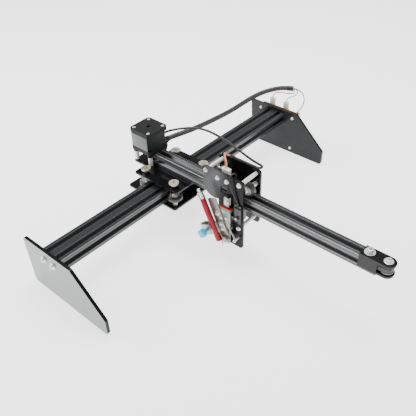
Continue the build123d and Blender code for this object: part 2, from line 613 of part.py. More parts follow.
with BuildPart() as lift_rail_screws:
    button_screw(front(PLATE_FACE - LIFT_RAIL_HIGH + 3, x=LIFT_X, z=32), M3 - 0.02, 2.8, 2.2, 2.4)
    button_screw(front(PLATE_FACE - LIFT_RAIL_HIGH, x=LIFT_X, z=LIFT_SCREW_Z), M3 - 0.02, 3.5, 2.3, 5.4)
    disc(front(PLATE_FACE, x=SPRING_LOW[0], z=SPRING_LOW[2] - 2.2), M3, 10.4)
    button_screw(front(PLATE_FACE - 10.4, x=SPRING_LOW[0], z=SPRING_LOW[2] - 2.2), M3, 2.6, 1.8, 1)
lift_rail_screws.part.label = "lift_rail_screws"
export_step(lift_rail_screws.part, "parts/lift_rail_screws.step")

PLUG_X, PLUG_Y, PLUG_Z = 112, -9.6, 124
with BuildPart() as servo_plug:
    slab(level(PLUG_Z, PLUG_X, PLUG_Y), 13, 6, 15.5, radius=1)
servo_plug.part.label = "servo_plug"
export_step(servo_plug.part, "parts/servo_plug.step")

# ---- pen lift: guide block, holder bar, clamp ----
BLOCK_FACE, BLOCK_HALF = PLATE_FACE - 8.5, 9.5
GUIDE_LOW, GUIDE_HIGH, GUIDE_CAP = 52, 88, 4
with BuildPart() as guide_block:
    slab(front(PLATE_FACE - 1, x=LIFT_X, z=(GUIDE_LOW + GUIDE_HIGH) / 2), 2 * BLOCK_HALF,
         GUIDE_HIGH - GUIDE_LOW - 2 * GUIDE_CAP, 7.5, radius=0.5)
    slab(front(PLATE_FACE + 1, x=LIFT_X, z=(GUIDE_LOW + GUIDE_HIGH) / 2), 9.6, 60,
         LIFT_RAIL_HIGH + 1.3, mode=Mode.SUBTRACT)
    slab(front(HORN_FACE - 0.1, x=LIFT_X + BLOCK_HALF + 1.2, z=SHAFT_Z + 0.55), 3.6, 1.5, 1.6)
guide_block.part.label = "guide_block"
export_step(guide_block.part, "parts/guide_block.step")

with BuildPart() as guide_ends:
    for z, half, tall in ((GUIDE_LOW, 9, 1.4), (GUIDE_LOW + 1.4, 9.4, 2.6), (GUIDE_HIGH - 4, 9.4, 2.6),
                          (GUIDE_HIGH - 1.4, 9, 1.4)):
        slab(level(z, LIFT_X, PLATE_FACE - 4.7), 2 * half, 7, tall, radius=0.8)
    slab(front(PLATE_FACE + 1, x=LIFT_X, z=(GUIDE_LOW + GUIDE_HIGH) / 2), 9.8, 60,
         LIFT_RAIL_HIGH + 1.4, mode=Mode.SUBTRACT)
guide_ends.part.label = "guide_ends"
export_step(guide_ends.part, "parts/guide_ends.step")

# the pen's own directions: along its axis, and square to it towards the holder bar
LEAN = radians(PEN_LEAN)
UP, ACROSS = (-sin(LEAN), cos(LEAN)), (cos(LEAN), sin(LEAN))
BAR_SKIN, BAR_WIDE, BAR_LONG = 1.6, 17, 70
BAR_LEAN = 23.5                       # degrees from upright
BAR_OFFSET, BAR_MIDDLE = 9.5, 65.5    # bar's middle from the pen's axis, and along it from the point
BAR_FACE = BLOCK_FACE - BAR_SKIN
CLAMP_RADIUS, CLAMP_SKIN, CLAMP_WIDE, CLAMP_AT, CLAMP_LEGS = 4.66, 1.3, 16, 55.5, 24
PEN_Y = BAR_FACE - CLAMP_RADIUS - CLAMP_SKIN
SCREW_OUT, SCREW_NECK = 9.8, 6        # thumbscrew's axis from the pen's axis, and its neck's length


def by_pen(along, across=0):
    """x and z of a point given along the pen from its tip, and across it."""
    return tuple(PEN_TIP[i] + along * UP[i] + across * ACROSS[i] for i in (0, 1))


def pen_plane(along):
    x, z = by_pen(along)
    return Plane(origin=place(x, PEN_Y, z), x_dir=(ACROSS[0], 0, ACROSS[1]), z_dir=(UP[0], 0, UP[1]))


BAR_X, BAR_Z = by_pen(BAR_MIDDLE, BAR_OFFSET)
BAR_SCREWS = [by_pen(BAR_MIDDLE + along, BAR_OFFSET + side_step)
              for along, side_step in ((10.5, 2.5), (4, 5.5))]
CLAMP_SCREWS = [by_pen(CLAMP_AT + along, BAR_OFFSET + 1.5) for along in (-4, 4)]
with BuildPart() as holder_bar:
    with BuildSketch(front(BLOCK_FACE)) as outline:
        with Locations(Location((BAR_X, BAR_Z, 0), (0, 0, BAR_LEAN))):
            RectangleRounded(BAR_WIDE, BAR_LONG, 3)
        with Locations(*BAR_SCREWS, *CLAMP_SCREWS):
            Circle(M3 + 0.1, mode=Mode.SUBTRACT)
    extrude(amount=BAR_SKIN)
    x, z = by_pen(BAR_MIDDLE - BAR_LONG / 2 + 4.2, BAR_OFFSET + 0.5)
    disc(front(BAR_FACE, x=x, z=z), 4.6, 5.2)
    fillet(holder_bar.faces().sort_by(Axis.Y)[0].edges(), 1.2)
holder_bar.part.label = "holder_bar"
export_step(holder_bar.part, "parts/holder_bar.step")

with BuildPart() as holder_screws:
    x, z = BAR_SCREWS[0]
    ring(front(BAR_FACE, x=x, z=z), 4.2, M3, 0.6)
    button_screw(front(BAR_FACE - 0.6, x=x, z=z), M3, 3, 2.1, 1.8)
    x, z = BAR_SCREWS[1]
    button_screw(front(BAR_FACE, x=x, z=z), M3, 2.7, 1.8, BAR_SKIN - 0.05)
    for x, z in CLAMP_SCREWS:
        button_screw(front(BAR_FACE - CLAMP_SKIN, x=x, z=z), M3, 2.5, 1.6, CLAMP_SKIN + BAR_SKIN - 0.05)
    button_screw(front(BLOCK_FACE, x=SPRING_HIGH[0] - 1.4, z=SPRING_HIGH[2] + 4.2), M3, 2.5, 2, 0)
holder_screws.part.label = "holder_screws"
export_step(holder_screws.part, "parts/holder_screws.step")

with BuildPart() as pen_clamp:
    outer = CLAMP_RADIUS + CLAMP_SKIN
    with BuildSketch(pen_plane(CLAMP_AT - CLAMP_WIDE / 2)) as section:
        bend = outer - CLAMP_LEGS
        with Locations((0, 0), (bend, 0)):
            Circle(outer)
        with Locations((bend / 2, 0)):
            Rectangle(-bend, 2 * outer)
        with Locations((8.5, outer - CLAMP_SKIN / 2)):
            Rectangle(17, CLAMP_SKIN)
        with Locations((0, 0), (bend, 0)):
            Circle(CLAMP_RADIUS, mode=Mode.SUBTRACT)
        with Locations((bend / 2, 0)):
            Rectangle(-bend, 2 * CLAMP_RADIUS, mode=Mode.SUBTRACT)
        with Locations((2.6, -4)):
            Rectangle(10.2, 9, mode=Mode.SUBTRACT)
    extrude(amount=CLAMP_WIDE)
    screw_x, screw_z = by_pen(CLAMP_AT, -SCREW_OUT)
    disc(front(PEN_Y + 10, x=screw_x, z=screw_z), 2.05, 20, mode=Mode.SUBTRACT)
    for x, z in CLAMP_SCREWS:
        disc(front(PEN_Y + 10, x=x, z=z), M3 + 0.05, 20, mode=Mode.SUBTRACT)
pen_clamp.part.label = "pen_clamp"
export_step(pen_clamp.part, "parts/pen_clamp.step")

with BuildPart() as thumbscrew:
    disc(front(PEN_Y + outer + 4, x=screw_x, z=screw_z), 2, 2 * outer + 5)
    disc(front(PEN_Y - outer - 0.2, x=screw_x, z=screw_z), 3, SCREW_NECK + 0.8)
    with BuildSketch(front(PEN_Y - outer - 0.6 - SCREW_NECK, x=screw_x, z=screw_z)) as head:
        Circle(6.2)
        with PolarLocations(6.6, 18):
            Circle(0.75, mode=Mode.SUBTRACT)
    extrude(head.sketch, amount=7)
thumbscrew.part.label = "thumbscrew"
export_step(thumbscrew.part, "parts/thumbscrew.step")

# ---- pen ----
CONE, BARREL_TOP, COLLAR_TOP, BUTTON_TOP = 34.7, 105.5, 114, 119.5
with BuildPart() as pen_point:
    with BuildSketch(Plane(origin=pen_plane(0).origin, x_dir=pen_plane(0).x_dir, z_dir=(0, -1, 0))) as half:
        Polygon((0, 0), (0.4, 0), (0.5, 2), (1.1, 3), (1.4, 9), (2.9, 20), (4.1, CONE - 2), (4.1, CONE),
                (0, CONE), align=None)
    revolve(half.sketch, axis=Axis(pen_plane(0).origin, pen_plane(0).z_dir))
pen_point.part.label = "pen_point"
export_step(pen_point.part, "parts/pen_point.step")

with BuildPart() as pen_barrel:
    disc(pen_plane(CONE), CLAMP_RADIUS - 0.06, BARREL_TOP - CONE)
    fillet(pen_barrel.edges().filter_by(GeomType.CIRCLE), 0.6)
pen_barrel.part.label = "pen_barrel"
export_step(pen_barrel.part, "parts/pen_barrel.step")

with BuildPart() as pen_collar:
    disc(pen_plane(BARREL_TOP), 4.2, COLLAR_TOP - BARREL_TOP)
    disc(pen_plane(COLLAR_TOP - 6), 2.4, 6, mode=Mode.SUBTRACT)
    clip = Plane(pen_plane(COLLAR_TOP - 2).origin, x_dir=(0, -1, 0), z_dir=pen_plane(0).z_dir)
    for middle, wide, long in ((4.9, 2.6, 2), (5.8, 0.8, 15)):
        with BuildSketch(clip) as section:
            with Locations((middle, 0)):
                Rectangle(wide, 3.4)
        extrude(section.sketch, amount=-long)
pen_collar.part.label = "pen_collar"
export_step(pen_collar.part, "parts/pen_collar.step")

with BuildPart() as pen_button:
    disc(pen_plane(COLLAR_TOP - 0.5), 2.3, BUTTON_TOP - COLLAR_TOP + 0.5)
    fillet(pen_button.edges().filter_by(GeomType.CIRCLE).sort_by(Axis.Z)[-1], 0.8)
pen_button.part.label = "pen_button"
export_step(pen_button.part, "parts/pen_button.step")

with BuildPart() as lift_spring:
    low, high = place(*SPRING_LOW), place(*SPRING_HIGH)
    disc(Plane(low, z_dir=high - low), 1.3, (high - low).length)
lift_spring.part.label = "lift_spring"
export_step(lift_spring.part, "parts/lift_spring.step")

# ---- cables, each a list of hand-set points ----
SLEEVE_ROUTE = [(-45, 21.5, 107), (-45, 33, 107), (-41, 46, 108), (-34.4, 64.5, 108.6),
                (-30.2, 92.5, 107.5), (-29.6, 130, 104.6), (-30.2, 170, 101.4), (-30.2, 203.5, 102.2),
                (-28.5, 232, 104.4), (-22, 258, 106.8), (-8.5, 279.5, 109), (3, 289, 109.8), (16, 294.4, 110)]
with BuildPart() as cable_sleeve:
    cord_tube(cable_sleeve, SLEEVE_ROUTE, 8.5)
cable_sleeve.part.label = "cable_sleeve"
export_step(cable_sleeve.part, "parts/cable_sleeve.step")

ARM_CABLE_ROUTE = [(-46, 21.5, 120.2), (-46, 26.6, 120.2), (-43, 31.8, 121.4), (-37, 34.2, 124.4),
                   (-29, 33.6, 128.8), (-19, 31.6, 134.6), (-6, 30.4, 141), (8.1, 30.4, 147.2),
                   (25, 31.4, 152), (42, 32.4, 153.6), (58, 32.4, 152.8), (75, 31.9, 151), (91, 30.4, 148.4),
                   (108, 29, 144.8), (124, 28, 141.2), (136, 27.6, 139.4), (145.5, 27.4, 139),
                   (148, 23.1, 139.2), (145.5, 18.8, 139.6), (136, 18.6, 139.8), (122, 19, 139.5),
                   (108, 18.7, 139.6), (97.4, 17.6, 140.4)]
with BuildPart() as arm_cable:
    cord_tube(arm_cable, ARM_CABLE_ROUTE, 3.6)
arm_cable.part.label = "arm_cable"
export_step(arm_cable.part, "parts/arm_cable.step")

SERVO_LEAD_ROUTE = [(118.9, -10, 127.5), (125, -10, 127.5), (129.3, -10, 131.8), (129.3, -10, 138),
                    (129.3, -14.3, 142.3), (129.3, -20.3, 142.3), (129.6, -24.6, 138), (130.8, -24.8, 131.4),
                    (132.6, -24.3, 124), (135.2, -23.4, 116), (138.8, -22.6, 108), (142, -22, 102.6),
                    (142.4, -21.9, 97.9)]
PINK_ROUTE = [(96.5, 18.4, 140.5), (92.6, 17.4, 141.8), (91.4, 12.4, 146), (95.2, 5.4, 150.2),
              (102, -1.6, 151), (107.6, -7, 148), (110.1, -9.4, 143.6), (110.4, -9.6, 139.7)]
YELLOW_ROUTE = [(96.5, 16.8, 140.5), (93.4, 15, 141.6), (93.4, 10.4, 145), (98.2, 4, 148),
                (105, -2.4, 148.4), (110.2, -7, 146), (112.4, -9.3, 142.6), (112.8, -9.6, 139.7)]
with BuildPart() as plug_leads:
    cord_tube(plug_leads, SERVO_LEAD_ROUTE, 2.2)
    for route in (PINK_ROUTE, YELLOW_ROUTE):
        cord_tube(plug_leads, route, 1.2)
plug_leads.part.label = "plug_leads"
export_step(plug_leads.part, "parts/plug_leads.step")

LEAD_END = BOARD_FACE + PLUG_OUT
BOARD_LEAD_ROUTES = [
    [(17.2, 295.6, 111), (22, 298.4, 108.6), (23.6, 297.8, 102.4), (20.6, 292.6, 97.2), (15.6, 285.6, 96.6),
     (13.2, 280.8, 93.9), (13, LEAD_END, 88.4)],
    [(17.2, 294.6, 107.9), (17.8, 297.2, 102.6), (14, 299, 97.6), (4, 295, 96.8), (-6, 288.6, 98.2),
     (-13.5, 282.2, 98), (-17, 279.6, 93.6), (-17, LEAD_END, 88.4)],
    [(17.2, 293, 110.4), (26, 294.2, 112), (37, 294.6, 107.6), (43.4, 291.4, 97), (43, 286.6, 85.4),
     (37.6, 281.6, 76.4), (33.6, 280, 70), (33, LEAD_END, 64.4)]]
with BuildPart() as board_leads:
    for route in BOARD_LEAD_ROUTES:
        cord_tube(board_leads, route, 1.8)
board_leads.part.label = "board_leads"
export_step(board_leads.part, "parts/board_leads.step")
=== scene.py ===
import math

import bmesh
import bpy
from mathutils import Matrix, Vector


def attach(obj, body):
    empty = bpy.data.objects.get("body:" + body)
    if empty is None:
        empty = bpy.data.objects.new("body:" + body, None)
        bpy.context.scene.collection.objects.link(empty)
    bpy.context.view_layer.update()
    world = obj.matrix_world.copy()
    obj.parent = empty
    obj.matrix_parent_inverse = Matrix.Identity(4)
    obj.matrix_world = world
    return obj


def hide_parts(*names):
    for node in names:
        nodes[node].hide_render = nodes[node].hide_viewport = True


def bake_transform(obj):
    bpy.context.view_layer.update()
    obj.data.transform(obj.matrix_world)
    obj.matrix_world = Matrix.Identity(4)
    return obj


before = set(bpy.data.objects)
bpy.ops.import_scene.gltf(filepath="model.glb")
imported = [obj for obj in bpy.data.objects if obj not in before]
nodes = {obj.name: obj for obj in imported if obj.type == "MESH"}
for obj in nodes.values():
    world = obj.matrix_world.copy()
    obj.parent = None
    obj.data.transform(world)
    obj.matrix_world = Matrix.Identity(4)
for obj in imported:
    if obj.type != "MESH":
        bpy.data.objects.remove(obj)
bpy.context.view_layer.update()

scene = bpy.context.scene

# Places are in millimetres, from the floor below the crossing of the arm's and the rail's centre lines.
PER_METRE = 1000
ORIGIN = Vector((145.775, 17.9, 0))     # middle of the whole object, in those places


def at(x, y, z):
    """A place in the frame, in metres."""
    return (Vector((x, y, z)) - ORIGIN) / PER_METRE


# ---- camera ----
AZIMUTH, ELEVATION, ROLL = math.radians(42.4), math.radians(38.7), math.radians(-1.8)
TARGET, DISTANCE, FOCAL = Vector((-0.0634, -0.0352, 0.060)), 0.8249, 48.2
SENSOR, NEAREST_SEEN = 36, 0.01
back = Vector((math.sin(AZIMUTH) * math.cos(ELEVATION), -math.cos(AZIMUTH) * math.cos(ELEVATION),
               math.sin(ELEVATION)))
level_right = Vector((math.cos(AZIMUTH), math.sin(AZIMUTH), 0))
level_up = back.cross(level_right)
right = level_right * math.cos(ROLL) + level_up * math.sin(ROLL)
up = level_up * math.cos(ROLL) - level_right * math.sin(ROLL)
lens = bpy.data.cameras.new("camera")
lens.lens, lens.sensor_width, lens.clip_start = FOCAL, SENSOR, NEAREST_SEEN
camera = bpy.data.objects.new("camera", lens)
facing = Matrix((right, up, back)).transposed().to_4x4()
camera.matrix_world = Matrix.Translation(TARGET + back * DISTANCE) @ facing
scene.collection.objects.link(camera)
scene.camera = camera


# ---- material helpers ----
MIX_FIRST, MIX_SECOND, MIX_RESULT = 6, 7, 2      # colour sockets of a mix node
WAVE_TURN = 20                                   # radians that a wave texture runs per unit, at a scale of 1
BELT_WAVE, STACK_WAVE = 500, 1400                # radians per metre, so ridges are 12.6 and 4.5 mm apart
COAT_ROUGH, NOISE_SPAN = 0.08, (0.12, 0.4)


def add_node(tree, kind, **values):
    """A new node; each value goes to the property of that name, or else to the input of that name."""
    node = tree.nodes.new(kind)
    for key, value in values.items():
        if hasattr(node, key):
            setattr(node, key, value)
        else:
            node.inputs[key.replace("_", " ")].default_value = value
    return node


def coordinates(tree, scale):
    """Object coordinates in metres, times the scale."""
    place = tree.nodes.new("ShaderNodeTexCoord")
    mapping = tree.nodes.new("ShaderNodeMapping")
    mapping.inputs["Scale"].default_value = scale
    tree.links.new(place.outputs["Object"], mapping.inputs["Vector"])
    return mapping.outputs["Vector"]


def ramp(tree, source, low, high, start=0.3, end=0.7):
    """A colour between low and high, as the source goes from start to end."""
    node = tree.nodes.new("ShaderNodeValToRGB")
    first, last = node.color_ramp.elements
    first.position, first.color = start, (*low, 1)
    last.position, last.color = end, (*high, 1)
    tree.links.new(source, node.inputs["Fac"])
    return node.outputs["Color"]


def span(tree, source, low, high, start=0.3, end=0.7):
    """A number between low and high, as the source goes from start to end."""
    node = add_node(tree, "ShaderNodeMapRange", From_Min=start, From_Max=end, To_Min=low, To_Max=high)
    tree.links.new(source, node.inputs["Value"])
    return node.outputs["Result"]


def finish_of(name, low, high, metallic=0.0, rough=(0.35, 0.45), scale=(60, 60, 60), grain=(900, 900, 900),
              bump=0.05, depth=0.0002, coat=0.0, specular=0.5, pattern=None):
    """Colour drifts between low and high at one scale, and a finer grain moves roughness and bump."""
    material = bpy.data.materials.new(name)
    material.use_nodes = True
    tree = material.node_tree
    shader = tree.nodes["Principled BSDF"]
    shader.inputs["Metallic"].default_value = metallic
    shader.inputs["Coat Weight"].default_value = coat
    shader.inputs["Coat Roughness"].default_value = COAT_ROUGH
    shader.inputs["Specular IOR Level"].default_value = specular
    drift = add_node(tree, "ShaderNodeTexNoise", Scale=1.0, Detail=4.0, Roughness=0.55)
    tree.links.new(coordinates(tree, scale), drift.inputs["Vector"])
    fine = add_node(tree, "ShaderNodeTexNoise", Scale=1.0, Detail=3.0, Roughness=0.6)
    tree.links.new(coordinates(tree, grain), fine.inputs["Vector"])
    tree.links.new(ramp(tree, drift.outputs["Fac"], low, high), shader.inputs["Base Color"])
    mixed = add_node(tree, "ShaderNodeMath", operation="MULTIPLY")
    tree.links.new(fine.outputs["Fac"], mixed.inputs[0])
    tree.links.new(drift.outputs["Fac"], mixed.inputs[1])
    tree.links.new(span(tree, mixed.outputs["Value"], *rough, *NOISE_SPAN), shader.inputs["Roughness"])
    relief = add_node(tree, "ShaderNodeBump", Strength=bump, Distance=depth)
    tree.links.new((pattern(tree) if pattern else fine).outputs["Fac"], relief.inputs["Height"])
    tree.links.new(relief.outputs["Normal"], shader.inputs["Normal"])
    return material


def waves(direction, per_metre):
    """Even ridges across one axis; the wave runs per_metre radians in a metre."""
    def build(tree):
        node = add_node(tree, "ShaderNodeTexWave", bands_direction=direction, wave_profile="SIN",
                        Scale=per_metre / WAVE_TURN, Distortion=0.0)
        tree.links.new(coordinates(tree, (1, 1, 1)), node.inputs["Vector"])
        return node
    return build


def worked(tree, operation, first, second=None):
    """A maths node on sockets or numbers."""
    node = add_node(tree, "ShaderNodeMath", operation=operation)
    for socket, value in zip(node.inputs, (first, second)):
        if isinstance(value, (int, float)):
            socket.default_value = value
        elif value is not None:
            tree.links.new(value, socket)
    return node.outputs["Value"]


def within(tree, value, low, high):
    """1 where the value lies between low and high, otherwise 0."""
    over, under = worked(tree, "GREATER_THAN", value, low), worked(tree, "LESS_THAN", value, high)
    return worked(tree, "MULTIPLY", over, under)


def object_place(tree):
    """Sockets of the object coordinates, found by X, Y and Z."""
    split = tree.nodes.new("ShaderNodeSeparateXYZ")
    tree.links.new(tree.nodes.new("ShaderNodeTexCoord").outputs["Object"], split.inputs[0])
    return split.outputs


def tint(tree, colour, share):
    """Lays a colour over the base colour, by a share from 0 to 1."""
    base = tree.nodes["Principled BSDF"].inputs["Base Color"]
    mix = add_node(tree, "ShaderNodeMix", data_type="RGBA")
    tree.links.new(base.links[0].from_socket, mix.inputs[MIX_FIRST])
    mix.inputs[MIX_SECOND].default_value = (*colour, 1)
    tree.links.new(share, mix.inputs[0])
    tree.links.new(mix.outputs[MIX_RESULT], base)


def two_part(name, axis, limit, below, above, also_under=-1.0):
    """One finish below a coordinate, as (colour, metallic, roughness), and another (colour, metallic) above it
    and below also_under."""
    colour, metallic, rough = below
    material = finish_of(name, colour, [c * 1.15 for c in colour], metallic, (rough, rough + 0.08))
    tree = material.node_tree
    place = object_place(tree)[axis]
    over, under = worked(tree, "GREATER_THAN", place, limit), worked(tree, "LESS_THAN", place, also_under)
    share = worked(tree, "MAXIMUM", over, under)
    tint(tree, above[0], share)
    metal = tree.nodes["Principled BSDF"].inputs["Metallic"]
    tree.links.new(span(tree, share, metallic, above[1], 0, 1), metal)
    return material


def painted_reflection_fade(name, axis, start, end, first, last, metallic, rough):
    """A sheet finish whose colour runs from first to last along one axis between two coordinates: a painted
    reflection.
    """
    material = finish_of(name, first, [c * 1.2 for c in first], metallic, rough, (30, 30, 30),
                         (2200, 2200, 2200), 0.03, specular=0.15)
    tree = material.node_tree
    tint(tree, last, span(tree, object_place(tree)[axis], 0, 1, start, end))
    return material


def insulation(name, colour):
    """Plain coloured plastic of a wire."""
    return finish_of(name, [c * 0.85 for c in colour], colour, 0.0, (0.30, 0.44), (400, 400, 400),
                     (2600, 2600, 2600), 0.05)


# An extrusion's section, in millimetres: half its height, a slot's lip from the slot's middle, the corner's
# round, how deep the painted highlight line goes on a top and on a side face, and a slot's middle on a double
# extrusion.
HALF_TALL, LIP, CORNER = 10, (4.5, 5.1), 0.7
FLAT_DEPTH, SIDE_DEPTH, SECOND_SLOT = 0.4, 0.4, 10.0


def painted_highlight_lips(material, across, middle, half_width, shade):
    """Painted highlights: light lines on an extrusion's corners and the lips of its slots. They are colours set by
    position that stand in for reflections."""
    tree = material.node_tree
    places, centre = object_place(tree), at(*middle)

    def off_centre(axis):
        offset = worked(tree, "SUBTRACT", places[axis], getattr(centre, axis.lower()))
        return worked(tree, "MULTIPLY", worked(tree, "ABSOLUTE", offset), float(PER_METRE))

    wide, tall = off_centre(across), off_centre("Z")
    single = half_width == HALF_TALL
    slot = wide if single else worked(tree, "ABSOLUTE", worked(tree, "SUBTRACT", wide, SECOND_SLOT))
    on_flat = worked(tree, "GREATER_THAN", tall, HALF_TALL - FLAT_DEPTH)
    on_side = worked(tree, "GREATER_THAN", wide, half_width - SIDE_DEPTH)
    wide_edge = worked(tree, "GREATER_THAN", wide, half_width - CORNER)
    tall_edge = worked(tree, "GREATER_THAN", tall, HALF_TALL - CORNER)
    flats = worked(tree, "MULTIPLY", on_flat, worked(tree, "MAXIMUM", within(tree, slot, *LIP), wide_edge))
    sides = worked(tree, "MULTIPLY", on_side, worked(tree, "MAXIMUM", within(tree, tall, *LIP), tall_edge))
    tint(tree, (shade, shade, shade * 0.98), worked(tree, "MAXIMUM", flats, sides))


# ---- finishes ----
BLACK_RAIL = finish_of("black_anodised_y", (0.040, 0.043, 0.045), (0.056, 0.060, 0.062), 0.6, (0.24, 0.30),
                       (40, 2, 40), (2600, 6, 2600), 0.02)
BLACK_ARM = finish_of("black_anodised_x", (0.062, 0.065, 0.068), (0.086, 0.090, 0.094), 0.6, (0.24, 0.30),
                      (2, 40, 40), (6, 2600, 2600), 0.02)
RAIL_MID, ARM_MID = 64.6, 94.2          # heights of the extrusions' middles
# Painted highlights on the extrusions' corners and slot lips, set by position.
painted_highlight_lips(BLACK_RAIL, "X", (0, 0, RAIL_MID), 20, 0.15)
painted_highlight_lips(BLACK_ARM, "Y", (0, 0, ARM_MID), 10, 0.30)
BLACK_PLATE = finish_of("gloss_black_sheet", (0.003, 0.003, 0.0035), (0.006, 0.006, 0.007), 0.0, (0.10, 0.20),
                        (30, 30, 30), (1500, 1500, 1500), 0.03, specular=0.3)
# The far end plate is the same sheet as the near one; its darker, duller copy of the finish is painted shade.
FAR_FOOT = finish_of("far_foot_sheet_painted_shade", (0.013, 0.014, 0.015), (0.020, 0.022, 0.023), 0.0, (0.24, 0.36),
                     (18, 18, 18), (2200, 2200, 2200), 0.05, specular=0.17)
STEEL = finish_of("zinc_steel", (0.70, 0.69, 0.66), (0.84, 0.83, 0.80), 0.55, (0.18, 0.34), (240, 240, 240),
                  (3000, 3000, 3000), 0.08)
BLACK_SCREW = finish_of("blackened_screw", (0.030, 0.030, 0.032), (0.050, 0.050, 0.053), 0.8, (0.26, 0.40),
                        (240, 240, 240), (3000, 3000, 3000), 0.08)
BOLT = finish_of("cream_plated", (0.60, 0.55, 0.45), (0.78, 0.73, 0.62), 0.7, (0.22, 0.36), (200, 200, 200),
                 (2500, 2500, 2500), 0.08)
POST = finish_of("bright_spacer", (0.80, 0.77, 0.70), (0.90, 0.88, 0.82), 0.25, (0.30, 0.44), (150, 150, 150),
                 (400, 400, 4000), 0.06)
WHEEL = finish_of("wheel_resin", (0.016, 0.016, 0.017), (0.028, 0.028, 0.030), 0.0, (0.32, 0.48),
                  (120, 120, 120), (2400, 2400, 2400), 0.08)
BELT = finish_of("belt_rubber", (0.050, 0.044, 0.046), (0.078, 0.068, 0.070), 0.0, (0.62, 0.78),
                 (150, 150, 150), (900, 900, 900), 0.6, 0.0006, pattern=waves("X", BELT_WAVE))
RAIL_BELT = finish_of("belt_rubber_rail", (0.030, 0.028, 0.029), (0.045, 0.042, 0.043), 0.0, (0.62, 0.78),
                      (150, 150, 150), (900, 900, 900), 0.6, 0.0006, pattern=waves("Y", BELT_WAVE))
MOTOR_CAP = finish_of("cast_black", (0.008, 0.008, 0.009), (0.014, 0.014, 0.015), 0.0, (0.42, 0.58),
                      (120, 120, 120), (3800, 3800, 3800), 0.25, specular=0.12)
MOTOR_STACK = finish_of("laminations", (0.007, 0.008, 0.009), (0.012, 0.013, 0.015), 0.0, (0.30, 0.42),
                        (60, 60, 60), (300, 300, 4000), 0.35, depth=0.0003,
                        specular=0.15, pattern=waves("Z", STACK_WAVE))
PULLEY = finish_of("turned_pulley", (0.48, 0.44, 0.42), (0.66, 0.62, 0.60), 1.0, (0.24, 0.38),
                   (200, 200, 200), (300, 300, 4000), 0.1)
SERVO = finish_of("servo_case", (0.011, 0.011, 0.012), (0.018, 0.018, 0.020), 0.0, (0.22, 0.34),
                  (100, 100, 100), (2800, 2800, 2800), 0.06)
HORN = finish_of("horn_resin", (0.020, 0.020, 0.021), (0.032, 0.032, 0.034), 0.0, (0.34, 0.46),
                 (100, 100, 100), (2800, 2800, 2800), 0.06)
GROUND = finish_of("ground_steel", (0.24, 0.235, 0.22), (0.36, 0.355, 0.34), 1.0, (0.20, 0.36),
                   (80, 80, 8), (3200, 3200, 30), 0.08)
BAR = finish_of("brushed_bar", (0.27, 0.245, 0.225), (0.38, 0.35, 0.325), 0.9, (0.36, 0.50),
                (60, 60, 14), (2600, 2600, 60), 0.14)
CLAMP = finish_of("clamp_strip", (0.36, 0.34, 0.31), (0.50, 0.48, 0.45), 0.9, (0.30, 0.44),
                  (90, 90, 90), (2400, 2400, 2400), 0.06)
CHROME = finish_of("chrome", (0.78, 0.78, 0.79), (0.86, 0.86, 0.87), 1.0, (0.06, 0.14), (60, 60, 60),
                   (900, 900, 900), 0.02)
RED_PEN = finish_of("red_lacquer", (0.19, 0.001, 0.008), (0.28, 0.002, 0.012), 0.35, (0.20, 0.28),
                    (90, 90, 90), (5000, 5000, 5000), 0.05, coat=0.15, specular=0.35)
WHITE = finish_of("white_resin", (0.78, 0.78, 0.74), (0.88, 0.88, 0.85), 0.0, (0.36, 0.48), (200, 200, 200),
                  (2500, 2500, 2500), 0.05)
BOARD = finish_of("lacquered_board", (0.30, 0.115, 0.012), (0.46, 0.20, 0.028), 0.0, (0.20, 0.34),
                  (400, 20, 900), (2600, 2600, 2600), 0.25, coat=0.1, specular=0.3)
BOARD_CHIPS = finish_of("chip_resin", (0.018, 0.018, 0.019), (0.034, 0.034, 0.036), 0.0, (0.42, 0.58),
                        (200, 200, 200), (3500, 3500, 3500), 0.15)
BRAID = finish_of("braided_sleeve", (0.012, 0.012, 0.014), (0.034, 0.034, 0.038), 0.0, (0.40, 0.58),
                  (700, 700, 700), (3000, 3000, 3000), 0.2)
JACKET = finish_of("cable_jacket", (0.014, 0.014, 0.016), (0.024, 0.024, 0.027), 0.0, (0.34, 0.48),
                   (300, 300, 300), (2600, 2600, 2600), 0.08, specular=0.35)
# The motor's blank label, its light grey a painted reflection.
LABEL_AND_REFLECTION = finish_of("blank_label_and_reflection", (0.085, 0.095, 0.088), (0.115, 0.126, 0.118), 0.0, (0.40, 0.55), (90, 90, 90),
                  (2600, 2600, 2600), 0.05)
GOLD = finish_of("gold_contact", (0.65, 0.45, 0.14), (0.80, 0.58, 0.22), 1.0, (0.2, 0.34), (300, 300, 300),
                 (2500, 2500, 2500), 0.05)
CAN = finish_of("capacitor_can", (0.62, 0.63, 0.65), (0.75, 0.76, 0.78), 1.0, (0.2, 0.32), (200, 200, 200),
                (2500, 2500, 2500), 0.05)
PINK = insulation("pink_insulation", (0.85, 0.16, 0.24))
YELLOW = insulation("yellow_insulation", (0.85, 0.66, 0.05))
CYAN = insulation("cyan_insulation", (0.07, 0.45, 0.62))
RED = insulation("red_insulation", (0.62, 0.03, 0.05))

UPPER_SEAL, LOWER_SEAL, PLUG_FOOT = 0.0866, 0.0534, 0.0726     # heights where a node changes colour, metres
GUIDE_ENDS = two_part("green_caps_red_seals", "Z", UPPER_SEAL, ((0.012, 0.22, 0.095), 0.0, 0.26),
                      ((0.50, 0.018, 0.016), 0.0), also_under=LOWER_SEAL)
BOARD_PARTS = two_part("chips_and_plugs", "Z", PLUG_FOOT, ((0.022, 0.022, 0.024), 0.0, 0.46),
                       ((0.80, 0.80, 0.77), 0.0))
KNOB_BACK = -42.45                      # the knob's blue part ends and its metal neck begins
KNOB = two_part("blue_knob", "Y", (KNOB_BACK - ORIGIN.y) / PER_METRE, ((0.035, 0.40, 0.66), 0.1, 0.30),
                ((0.70, 0.69, 0.67), 1.0))
